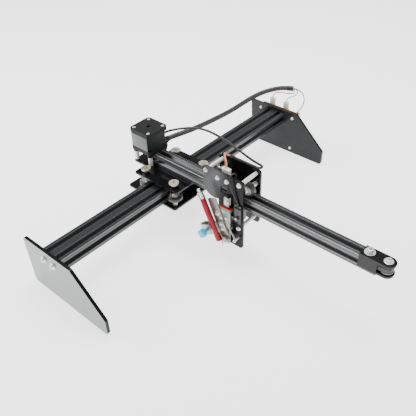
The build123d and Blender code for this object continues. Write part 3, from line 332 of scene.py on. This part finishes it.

# The next two set light and dark by position: painted reflections on plates of gloss black.
FOOT_SKIN = (-242.45, -242.25)          # the near plate's outer face is light, and it is dark behind that
NEAR_FOOT = painted_reflection_fade("near_foot_painted_reflection", "Y", *(at(0, y, 0).y for y in FOOT_SKIN), (0.195, 0.209, 0.207),
                  (0.016, 0.017, 0.018), 0.75, (0.26, 0.36))
# Painted reflection on the pen carriage's front plate, grey fading to black along X.
PEN_PLATE_FADE = (104, 124)             # the pen carriage's front plate goes from grey to black
PEN_PLATE = painted_reflection_fade("satin_black_painted_reflection", "X", *(at(x, 0, 0).x for x in PEN_PLATE_FADE), (0.075, 0.077, 0.080),
                  (0.006, 0.006, 0.007), 0.4, (0.22, 0.32))

NODE_FINISHES = {
    "rail": BLACK_RAIL, "arm": BLACK_ARM, "near_end_plate": NEAR_FOOT, "far_end_plate": FAR_FOOT,
    "end_plate_screws": STEEL, "rail_belt": RAIL_BELT, "control_board": BOARD, "board_fixings": STEEL,
    "board_components": BOARD_PARTS, "upper_plate": BLACK_PLATE, "lower_plate": BLACK_PLATE,
    "wheel_axles": BOLT, "rail_bearings": STEEL, "motor_posts": POST, "motor_caps": MOTOR_CAP,
    "motor_body": MOTOR_STACK, "carriage_screws": STEEL, "arm_belt": BELT, "idler_block": BLACK_PLATE,
    "idler_bolts": STEEL, "rail_motor": MOTOR_CAP, "rail_idlers": STEEL, "motor_shaft": GROUND,
    "arm_pulley": PULLEY, "rail_pulley": PULLEY, "end_idler": PULLEY, "pen_front_plate": PEN_PLATE,
    "pen_back_plate": BLACK_PLATE, "pen_posts": POST, "pen_plate_screws": STEEL, "pen_axles": STEEL,
    "pen_bearings": STEEL, "belt_clamp": HORN, "servo": SERVO, "lift_rail": GROUND,
    "lift_rail_screws": STEEL, "servo_plug": WHITE, "servo_horn": HORN, "guide_block": GROUND,
    "guide_ends": GUIDE_ENDS, "holder_bar": BAR, "holder_screws": STEEL, "pen_clamp": CLAMP,
    "thumbscrew": KNOB, "pen_barrel": RED_PEN, "pen_point": CHROME, "pen_collar": CHROME,
    "pen_button": CHROME}
WELD_WITHIN, EDGE_ROUND, EDGE_ANGLE = 0.00001, 0.00025, math.radians(40)
for name, node in nodes.items():
    finish = WHEEL if "_wheel_" in name else NODE_FINISHES.get(name, JACKET)
    node.data.materials.clear()
    node.data.materials.append(finish)
    weld = node.modifiers.new("weld", "WELD")
    weld.merge_threshold = WELD_WITHIN
    edge = node.modifiers.new("edge", "BEVEL")
    edge.width, edge.segments, edge.use_clamp_overlap = EDGE_ROUND, 2, True
    edge.limit_method, edge.angle_limit = "ANGLE", EDGE_ANGLE
    if "custom_normal" in node.data.attributes:
        node.data.attributes.remove(node.data.attributes["custom_normal"])
    if name in ("rail", "arm"):         # the extrusions are shaded flat, with edges cut once
        edge.segments = 1
        node.data.shade_flat()
        continue
    node.data.shade_smooth()
    smooth = node.modifiers.new("normals", "WEIGHTED_NORMAL")
    smooth.keep_sharp = True


# ---- shapes ----
SHARP_ANGLE = math.radians(38)


def piece(name, build, finish, body, smooth=True):
    """A new object made by build; it rides on the body, unless that is None."""
    mesh = bpy.data.meshes.new(name)
    shape = bmesh.new()
    build(shape)
    bmesh.ops.recalc_face_normals(shape, faces=shape.faces)
    shape.to_mesh(mesh)
    shape.free()
    mesh.materials.append(finish)
    made = bpy.data.objects.new(name, mesh)
    scene.collection.objects.link(made)
    if smooth:
        mesh.shade_smooth()
        mesh.set_sharp_from_angle(angle=SHARP_ANGLE)
    if body:
        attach(made, body)
    return made


def axes_of(direction):
    """A matrix whose Z is the direction."""
    return Vector(direction).to_track_quat("Z", "Y").to_matrix().to_4x4()


def around(steps):
    """Angles of a full turn in even steps."""
    return [2 * math.pi * i / steps for i in range(steps)]


def turned(shape, profile, place, direction=(0, 0, 1), steps=32):
    """A closed turned shape around the direction, from a profile of (radius, height)."""
    matrix = Matrix.Translation(at(*place)) @ axes_of(direction)
    rows = []
    for radius, height in profile:
        wide, up_by = radius / PER_METRE, height / PER_METRE
        ring = [(wide * math.cos(a), wide * math.sin(a)) for a in around(steps)] if radius > 0 else [(0, 0)]
        rows.append([shape.verts.new(matrix @ Vector((x, y, up_by))) for x, y in ring])
    pairs = list(zip(rows, rows[1:]))
    if len(rows[0]) > 1 and len(rows[-1]) > 1:
        pairs.append((rows[-1], rows[0]))
    for low, high in pairs:
        for i in range(steps):
            j = (i + 1) % steps
            corners = [low[i % len(low)], low[j % len(low)], high[j % len(high)], high[i % len(high)]]
            unique = list(dict.fromkeys(corners))
            if len(unique) > 2:
                shape.faces.new(unique)


def block(shape, centre, size, bevel=0.3):
    """A box with rounded edges."""
    matrix = Matrix.Translation(at(*centre)) @ Matrix.Diagonal((*(side / PER_METRE for side in size), 1))
    made = bmesh.ops.create_cube(shape, size=1, matrix=matrix)
    edges = list({e for v in made["verts"] for e in v.link_edges})
    bmesh.ops.bevel(shape, geom=edges, offset=bevel / PER_METRE, segments=2, affect="EDGES", profile=0.5)


def spline_points(route, per_run=16):
    """Points of the smooth line that a route's points control."""
    data = bpy.data.curves.new("route", "CURVE")
    data.dimensions, data.resolution_u = "3D", per_run
    line = data.splines.new("NURBS")
    line.points.add(len(route) - 1)
    for point, place in zip(line.points, route):
        point.co = (*at(*place), 1)
    line.order_u = 3
    line.use_endpoint_u = True
    holder = bpy.data.objects.new("route", data)
    scene.collection.objects.link(holder)
    mesh = bpy.data.meshes.new_from_object(holder)
    found = [v.co.copy() for v in mesh.vertices]
    bpy.data.objects.remove(holder)
    bpy.data.meshes.remove(mesh)
    return found


def evened(path, spacing):
    """The same line with points at even distances, and its whole length."""
    lengths = [0.0]
    for a, b in zip(path, path[1:]):
        lengths.append(lengths[-1] + (b - a).length)
    count = max(2, round(lengths[-1] / spacing))
    made, i = [], 0
    for k in range(count + 1):
        goal = lengths[-1] * k / count
        while i < len(lengths) - 2 and lengths[i + 1] < goal:
            i += 1
        share = (goal - lengths[i]) / max(lengths[i + 1] - lengths[i], 1e-9)
        made.append(path[i].lerp(path[i + 1], min(1, share)))
    return made, lengths[-1]


def skin(shape, rows):
    """Closes rows of points, all of one length, into a solid."""
    count = len(rows[0])
    for low, high in zip(rows, rows[1:]):
        for k in range(count):
            shape.faces.new((low[k], low[(k + 1) % count], high[(k + 1) % count], high[k]))
    shape.faces.new(rows[0])
    shape.faces.new(reversed(rows[-1]))


def heading(path, i):
    """The path's direction at one of its points."""
    return (path[min(i + 1, len(path) - 1)] - path[max(i - 1, 0)]).normalized()


def tube(shape, path, radius, steps=16, relief=None):
    """A closed tube along the path, in metres; relief(angle, distance) scales its radius."""
    rows, across, run = [], None, 0.0
    for i, point in enumerate(path):
        ahead = heading(path, i)
        if across is None:
            across = ahead.orthogonal().normalized()
        across = (across - ahead * across.dot(ahead)).normalized()
        other = ahead.cross(across)
        run += (point - path[i - 1]).length if i else 0
        rows.append([shape.verts.new(point + (across * math.cos(a) + other * math.sin(a)) * radius
                                     * (relief(a, run) if relief else 1)) for a in around(steps)])
    skin(shape, rows)


# ---- cords ----
def lay_cord(name, route, diameter, finish, body, replaces, spacing=0.0008, steps=16, relief=None):
    """A cord in place of a CAD node; gives the piece and its even line."""
    path, length = evened(spline_points(route), spacing)
    radius = diameter / 2 / PER_METRE
    made = piece(name, lambda shape: tube(shape, path, radius, steps, relief), finish, body)
    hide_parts(replaces)
    return made, path


def band(name, path, first, last, radius, finish, body, steps=14):
    """A sleeve round the part of a cord's line from one share of it to another."""
    end = len(path) - 1
    stretch = path[int(first * end):int(last * end) + 1]
    piece(name, lambda shape: tube(shape, stretch, radius / PER_METRE, steps), finish, body)


STRANDS, BRAID_PITCH, BRAID_DEPTH = 8, 0.0085, 0.035


def braid(angle, run):
    """Crossing strands, as a share of the radius."""
    turn = 2 * math.pi * run / BRAID_PITCH
    crossing = math.sin(STRANDS * angle + turn * 2) * math.sin(STRANDS * angle - turn * 2)
    return 1 - BRAID_DEPTH + BRAID_DEPTH * crossing


SLEEVE_ROUTE = [(-45, 21.5, 107), (-45, 33, 107), (-41, 46, 108), (-34.4, 64.5, 108.6), (-30.2, 92.5, 107.5),
                (-29.6, 130, 104.6), (-30.2, 170, 101.4), (-30.2, 203.5, 102.2), (-28.5, 232, 104.4),
                (-22, 258, 106.8), (-8.5, 279.5, 109), (3, 289, 109.8), (16, 294.4, 110)]
ARM_CABLE_ROUTE = [(-46, 21.5, 120.2), (-46, 26.6, 120.2), (-43, 31.8, 121.4), (-37, 34.2, 124.4),
                   (-29, 33.6, 128.8), (-19, 31.6, 134.6), (-6, 30.4, 141), (8.1, 30.4, 147.2),
                   (25, 31.4, 152), (42, 32.4, 153.6), (58, 32.4, 152.8), (75, 31.9, 151), (91, 30.4, 148.4),
                   (108, 29, 144.8), (124, 28, 141.2), (136, 27.6, 139.4), (145.5, 27.4, 139),
                   (148, 23.1, 139.2), (145.5, 18.8, 139.6), (136, 18.6, 139.8), (122, 19, 139.5),
                   (108, 18.7, 139.6), (97.4, 17.6, 140.4)]
SERVO_LEAD_ROUTE = [(118.9, -10, 127.5), (125, -10, 127.5), (129.3, -10, 131.8), (129.3, -10, 138),
                    (129.3, -14.3, 142.3), (129.3, -20.3, 142.3), (129.6, -24.6, 138), (130.8, -24.8, 131.4),
                    (132.6, -24.3, 124), (135.2, -23.4, 116), (138.8, -22.6, 108), (142, -22, 102.6),
                    (142.4, -21.9, 97.9)]
PINK_ROUTE = [(96.5, 18.4, 140.5), (92.6, 17.4, 141.8), (91.4, 12.4, 146), (95.2, 5.4, 150.2),
              (102, -1.6, 151), (107.6, -7, 148), (110.1, -9.4, 143.6), (110.4, -9.6, 139.7)]
YELLOW_ROUTE = [(96.5, 16.8, 140.5), (93.4, 15, 141.6), (93.4, 10.4, 145), (98.2, 4, 148),
                (105, -2.4, 148.4), (110.2, -7, 146), (112.4, -9.3, 142.6), (112.8, -9.6, 139.7)]
BOARD_LEADS = {
    "cyan": [(17.2, 295.6, 111), (22, 298.4, 108.6), (23.6, 297.8, 102.4), (20.6, 292.6, 97.2),
             (15.6, 285.6, 96.6), (13.2, 280.8, 93.9), (13, 279.5, 88.4)],
    "red": [(17.2, 294.6, 107.9), (17.8, 297.2, 102.6), (14, 299, 97.6), (4, 295, 96.8), (-6, 288.6, 98.2),
            (-13.5, 282.2, 98), (-17, 279.6, 93.6), (-17, 279.5, 88.4)],
    "black": [(17.2, 293, 110.4), (26, 294.2, 112), (37, 294.6, 107.6), (43.4, 291.4, 97), (43, 286.6, 85.4),
              (37.6, 281.6, 76.4), (33.6, 280, 70), (33, 279.5, 64.4)]}
sleeve, sleeve_path = lay_cord("cable_sleeve_braid", SLEEVE_ROUTE, 8.5, BRAID, None, "cable_sleeve",
                               0.0009, 48, braid)
arm_lead, arm_path = lay_cord("arm_cable_jacket", ARM_CABLE_ROUTE, 3.6, JACKET, None, "arm_cable",
                              0.0014, 20)
servo_path = lay_cord("servo_lead", SERVO_LEAD_ROUTE, 2.2, JACKET, "pen_carriage", "plug_leads")[1]
lay_cord("pink_wire", PINK_ROUTE, 1.2, PINK, "pen_carriage", "plug_leads")
lay_cord("yellow_wire", YELLOW_ROUTE, 1.2, YELLOW, "pen_carriage", "plug_leads")
board_paths = {}
for colour, finish in (("cyan", CYAN), ("red", RED), ("black", JACKET)):
    board_paths[colour] = lay_cord(f"board_lead_{colour}", BOARD_LEADS[colour], 1.8, finish,
                                   "base", "board_leads")[1]
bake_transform(sleeve)
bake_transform(arm_lead)

# ---- carriage details ----
MOTOR_X, SCREW_SQUARE = -52.3, 31       # the arm motor's axis, and the side of its square of screws
POST_PLACES = [(MOTOR_X + sx * SCREW_SQUARE / 2, sy * SCREW_SQUARE / 2) for sx in (-1, 1) for sy in (-1, 1)]


def each_post(shape):
    for x, y in POST_PLACES:
        turned(shape, [(3.9, 99.7), (4.6, 99.9), (4.7, 100.4), (4.7, 103.8), (4.4, 104.4), (3.9, 104.4)],
               (x, y, 0), steps=28)


def motor_label_and_reflection(shape):
    """A blank label panel with two plain bars on the motor's side, lighter than the motor as a painted reflection.
    """
    block(shape, (MOTOR_X, -20.9, 123.2), (34.2, 0.9, 22.8), 0.35)
    block(shape, (MOTOR_X, -21.3, 130.6), (27, 0.4, 1.0), 0.15)
    block(shape, (MOTOR_X - 3, -21.3, 115.6), (21, 0.4, 0.8), 0.15)


def boot(radius, tip, length):
    """A strain relief that narrows towards the cord, with rings cut in it, closed around the cord."""
    rings = 4
    profile = [(tip * 0.92, 0), (radius * 1.12, 0), (radius * 1.16, 0.5), (radius * 1.12, 1.4)]
    for i in range(rings):
        low, high = 1.8 + (length - 1.8) * i / rings, 1.8 + (length - 1.8) * (i + 0.62) / rings
        share = i / (rings - 1)
        width = radius + (tip * 1.12 - radius) * share
        profile += [(width * 0.93, low), (width, low + 0.25), (width * 0.985, high), (width * 0.92, high + 0.2)]
    return profile + [(tip * 1.02, length), (tip * 0.92, length)]


piece("post_collars", each_post, MOTOR_CAP, "carriage")
# The motor's label panel, lighter as a painted reflection.
piece("motor_blank_label", motor_label_and_reflection, LABEL_AND_REFLECTION, "carriage")
piece("sleeve_boot", lambda shape: turned(shape, boot(6.4, 4.25, 13), (-45, 21.0, 107), (0, 1, 0), 36),
      JACKET, "carriage")
piece("cable_boot", lambda shape: turned(shape, boot(3.5, 1.8, 8.6), (-46, 20.6, 120.2), (0, 1, 0), 28),
      JACKET, "carriage")


def strip(shape, path, thickness, low, high):
    """An upright band along a level path, thickness across it."""
    rows = []
    for i, place in enumerate(path):
        ahead = heading(path, i)
        across = Vector((-ahead.y, ahead.x, 0)) * thickness / 2
        rows.append([shape.verts.new(at(*(place + across * turn + Vector((0, 0, z)))))
                     for turn, z in ((-1, low), (1, low), (1, high), (-1, high))])
    skin(shape, rows)


def arc(centre, radius, start, end, count=14):
    """Level points round a centre, from one angle in degrees to another."""
    turns = [math.radians(start + (end - start) * i / count) for i in range(count + 1)]
    return [Vector((centre[0] + radius * math.cos(a), centre[1] + radius * math.sin(a), 0)) for a in turns]


BELT_THICK, HALF_BELT = 1.15, 3
IDLER, IDLER_ROUND, PULLEY_AXIS, PULLEY_ROUND = (-28, -9), 6.6, (-44.2, 0), 6.8
# From the rail's slot, round one idler and half the pulley; the other half of the loop mirrors it.
half_loop = ([Vector((-15.5, -22.5, 0)), Vector((-15.6, -21, 0))] + arc(IDLER, IDLER_ROUND, 24, 107)
             + arc(PULLEY_AXIS, PULLEY_ROUND, 287, 180, 18))
loop = half_loop + [Vector((v.x, -v.y, 0)) for v in reversed(half_loop[:-1])]
piece("rail_belt_loop", lambda shape: strip(shape, loop, BELT_THICK, RAIL_MID - HALF_BELT, RAIL_MID + HALF_BELT),
      RAIL_BELT, "carriage")

# ---- pen carriage details ----
SPRING_LOW, SPRING_HIGH = Vector((144, -29.4, 41.4)), Vector((128.2, -31.2, 66.4))
COILS, COIL_RADIUS, WIRE, PER_COIL, HOOK = 15, 1.05, 0.27, 14, 2.6


def coil_path():
    """Middle of the spring's wire, from one hook to the other."""
    length = (SPRING_HIGH - SPRING_LOW).length
    frame_of = Matrix.Translation(SPRING_LOW) @ axes_of(SPRING_HIGH - SPRING_LOW)
    first, last = HOOK, length - HOOK
    path = [Vector((0, 0, -0.8)), Vector((0, 0.9, -0.3)), Vector((0, 1.0, 0.7)), Vector((0, 0.3, 1.6))]
    steps = COILS * PER_COIL
    for i in range(steps + 1):
        turn = 2 * math.pi * i / PER_COIL
        path.append(Vector((COIL_RADIUS * math.sin(turn), COIL_RADIUS * math.cos(turn),
                            first + (last - first) * i / steps)))
    path += [Vector((0, 0.3, length - 1.6)), Vector((0, -0.8, length - 0.6)), Vector((0, -0.6, length + 0.4)),
             Vector((0, 0.2, length + 0.8))]
    return [at(*(frame_of @ v)) for v in path]


spring = piece("spring_coils", lambda shape: tube(shape, coil_path(), WIRE / PER_METRE, 10), CHROME, None)
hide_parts("lift_spring")
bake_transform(spring)

SERVO_X, SERVO_Z, SHAFT_Z = 142.5, 81.7, 76.4      # the servo's middle and its shaft
SERVO_FRONT, TOWARDS_FRONT = -24, (0, -1, 0)


def servo_details(shape):
    turned(shape, [(5.4, -0.2), (5.7, 0.1), (5.6, 0.45), (5.2, 0.55), (2.7, 0.55), (2.7, -0.2)],
           (SERVO_X, SERVO_FRONT, SHAFT_Z), TOWARDS_FRONT, 40)
    turned(shape, [(2.4, -0.2), (2.5, 0.1), (2.3, 0.5), (0, 0.5)], (SERVO_X, SERVO_FRONT, SERVO_Z + 2.6),
           TOWARDS_FRONT, 24)
    for z in (-9.6, 9.6):
        block(shape, (SERVO_X, -23.9, SERVO_Z + z), (8.4, 0.7, 0.9), 0.25)


def servo_screws(shape):
    for z in (-13.9, 13.9):
        turned(shape, [(1.9, -0.2), (1.9, 0.5), (1.4, 1.1), (0.8, 1.25), (0.7, 0.7), (0, 0.7)],
               (SERVO_X, -22.5, SERVO_Z + z), TOWARDS_FRONT, 24)


def horn_screw(shape):
    turned(shape, [(1.5, -0.3), (1.5, 0.3), (1.2, 0.7), (0.6, 0.8), (0.5, 0.35), (0, 0.35)],
           (SERVO_X, -26.5, SHAFT_Z), TOWARDS_FRONT, 24)


piece("servo_moulding", servo_details, SERVO, "pen_carriage")
piece("servo_lug_screws", servo_screws, BLACK_SCREW, "pen_carriage")
piece("horn_screw", horn_screw, STEEL, "servo_horn")


def plug_details(shape):
    for x in (107.4, 109.9, 112.4, 114.9):
        block(shape, (x, -12.6, 133), (1.1, 0.7, 9.6), 0.25)
    block(shape, (112, -9.6, 139.3), (13.5, 6.5, 1.2), 0.4)
    block(shape, (118.3, -10, 127.5), (2.2, 3.6, 3.4), 0.5)


piece("plug_ribs", plug_details, WHITE, "pen_carriage")
band("arm_cable_end", arm_path, 0.975, 1.0, 2.35, JACKET, "pen_carriage", 20)
band("servo_lead_boot", servo_path, 0.95, 1.0, 1.6, JACKET, "pen_carriage", 16)

# ---- pen details ----
LEAN = math.radians(26.5)
PEN_UP = Vector((-math.sin(LEAN), 0, math.cos(LEAN)))
PEN_TIP = Vector((136, -36.56, 0.3))


def on_pen(along):
    """A place on the pen's axis, measured from its tip."""
    return tuple(PEN_TIP + PEN_UP * along)


def pen_rings(shape):
    for low, tall, radius in ((33.9, 1.7, 4.6), (104.7, 1.8, 4.85), (108.4, 0.7, 4.45)):
        turned(shape, [(3.6, 0), (radius - 0.15, 0), (radius, 0.25), (radius, tall - 0.25), (radius - 0.15, tall),
                       (3.6, tall)], on_pen(low), PEN_UP, 40)


def clip_ball(shape):
    turned(shape, [(0, -0.9), (0.8, -0.75), (1.35, -0.2), (1.35, 0.25), (0.8, 0.75), (0, 0.9)],
           tuple(Vector(on_pen(98.3)) + Vector((0, -5.4, 0))), TOWARDS_FRONT, 24)


piece("pen_rings", pen_rings, CHROME, "pen")
piece("clip_ball", clip_ball, CHROME, "pen")

# ---- board details, on its outer face ----
BOARD_FACE, OUTWARDS = 277.0, (0, 1, 0)


def heat_sinks(shape):
    for x in (-16, 8):
        block(shape, (x, BOARD_FACE + 4.3, 45), (10, 1.0, 11), 0.2)
        for k in range(5):
            block(shape, (x - 4 + 2 * k, BOARD_FACE + 6.2, 45), (0.8, 3.6, 11), 0.2)


def headers(shape):
    for x, z, wide, tall in ((-27.5, 45, 2.5, 30), (20.6, 45, 2.5, 30), (-2, 30.4, 24, 2.5), (-4, 57.5, 22, 2.5)):
        block(shape, (x, BOARD_FACE + 1.3, z), (wide, 2.7, tall), 0.3)


def header_pins(shape):
    for x, z, count, step in ((-27.5, 31.5, 11, (0, 2.7)), (20.6, 31.5, 11, (0, 2.7)), (-12.8, 30.4, 9, (2.7, 0)),
                              (-13.4, 57.5, 8, (2.7, 0))):
        for k in range(count):
            block(shape, (x + step[0] * k, BOARD_FACE + 3.4, z + step[1] * k), (0.7, 2.4, 0.7), 0.15)


def capacitors(shape):
    for x, z in ((30, 40), (30, 31), (-29, 22)):
        turned(shape, [(0, 0), (3.2, 0), (3.2, 4.4), (2.9, 4.9), (2.9, 5.4), (2.6, 5.7), (0.5, 5.7), (0, 5.5)],
               (x, BOARD_FACE, z), OUTWARDS, 28)


def power_terminal(shape):
    block(shape, (39.3, BOARD_FACE + 3.2, 69.5), (6.4, 6, 10), 0.5)
    for z in (67.2, 71.8):
        turned(shape, [(1.6, 5.6), (1.6, 6.6), (1.2, 6.9), (0, 6.7)], (39.3, BOARD_FACE, z), OUTWARDS, 20)


def jack(shape):
    turned(shape, [(2.2, 0), (3.1, 0), (3.4, 0.4), (3.4, 2.8), (3.1, 3.2), (2.2, 3.2), (2.0, 0.6)],
           (-10, BOARD_FACE + 4.4, 16), OUTWARDS, 30)
    for k in range(6):
        block(shape, (9 + 3.4 * k, BOARD_FACE + 3.4, 17), (1.5, 1.0, 6), 0.2)


def plug_walls(shape):
    for x in (-17, 13):
        block(shape, (x, BOARD_FACE + 2.5, 74.2), (11.2, 5.6, 3.6), 0.5)
        for k in (-3, 0, 3):
            block(shape, (x + k, BOARD_FACE + 4.9, 82), (1.0, 0.8, 9), 0.25)


piece("driver_heat_sinks", heat_sinks, CAN, "base")
piece("pin_headers", headers, BOARD_CHIPS, "base")
piece("header_pins", header_pins, GOLD, "base")
piece("can_capacitors", capacitors, CAN, "base")
piece("power_terminal", power_terminal, GOLD, "base")
piece("jack_and_legs", jack, CAN, "base")
piece("lead_plug_walls", plug_walls, WHITE, "base")
band("sleeve_end_band", sleeve_path, 0.965, 1.0, 4.65, JACKET, "base", 28)
band("red_lead_band", board_paths["red"], 0.28, 0.42, 1.35, YELLOW, "base")
band("cyan_lead_band", board_paths["cyan"], 0.05, 0.20, 1.35, YELLOW, "base")

# ---- floor and light ----
FLOOR_HALF, FLOOR_GAP, FLOOR_GLOW = 6, 0.0004, 2.0
paper = finish_of("floor", (0.80, 0.80, 0.80), (0.82, 0.82, 0.82), 0.0, (0.85, 0.95), (2, 2, 2), (40, 40, 40), 0.0)
surface = paper.node_tree.nodes["Principled BSDF"]
surface.inputs["Emission Color"].default_value = (1, 1, 1, 1)
surface.inputs["Emission Strength"].default_value = FLOOR_GLOW
floor = piece("floor", lambda shape: bmesh.ops.create_grid(shape, x_segments=1, y_segments=1, size=FLOOR_HALF),
              paper, None, smooth=False)
floor.location.z = -FLOOR_GAP
world = bpy.data.worlds.new("studio")
world.use_nodes = True
sky = world.node_tree
backdrop = sky.nodes["Background"]
backdrop.inputs["Color"].default_value = (1, 1, 1, 1)
height = sky.nodes.new("ShaderNodeSeparateXYZ")
sky.links.new(sky.nodes.new("ShaderNodeTexCoord").outputs["Generated"], height.inputs[0])
# The sky is brighter near the horizon than overhead.
sky.links.new(span(sky, height.outputs["Z"], 1.5, 0.30, start=0.10, end=0.55), backdrop.inputs["Strength"])
scene.world = world


def soft_box(name, place, aim, size, power):
    """A square lamp of a size in metres and a power in watts, turned to its aim."""
    data = bpy.data.lights.new(name, "AREA")
    data.shape, data.size, data.energy = "SQUARE", size, power
    lamp = bpy.data.objects.new(name, data)
    lamp.matrix_world = Matrix.Translation(place) @ axes_of(Vector(place) - Vector(aim))
    scene.collection.objects.link(lamp)


soft_box("top_box", Vector((-0.2, 0.3, 1.3)), Vector((0, 0, 0)), 0.9, 22)
soft_box("left_box", Vector((-1.1, -0.5, 0.8)), Vector((-0.1, 0, 0.05)), 0.7, 14)
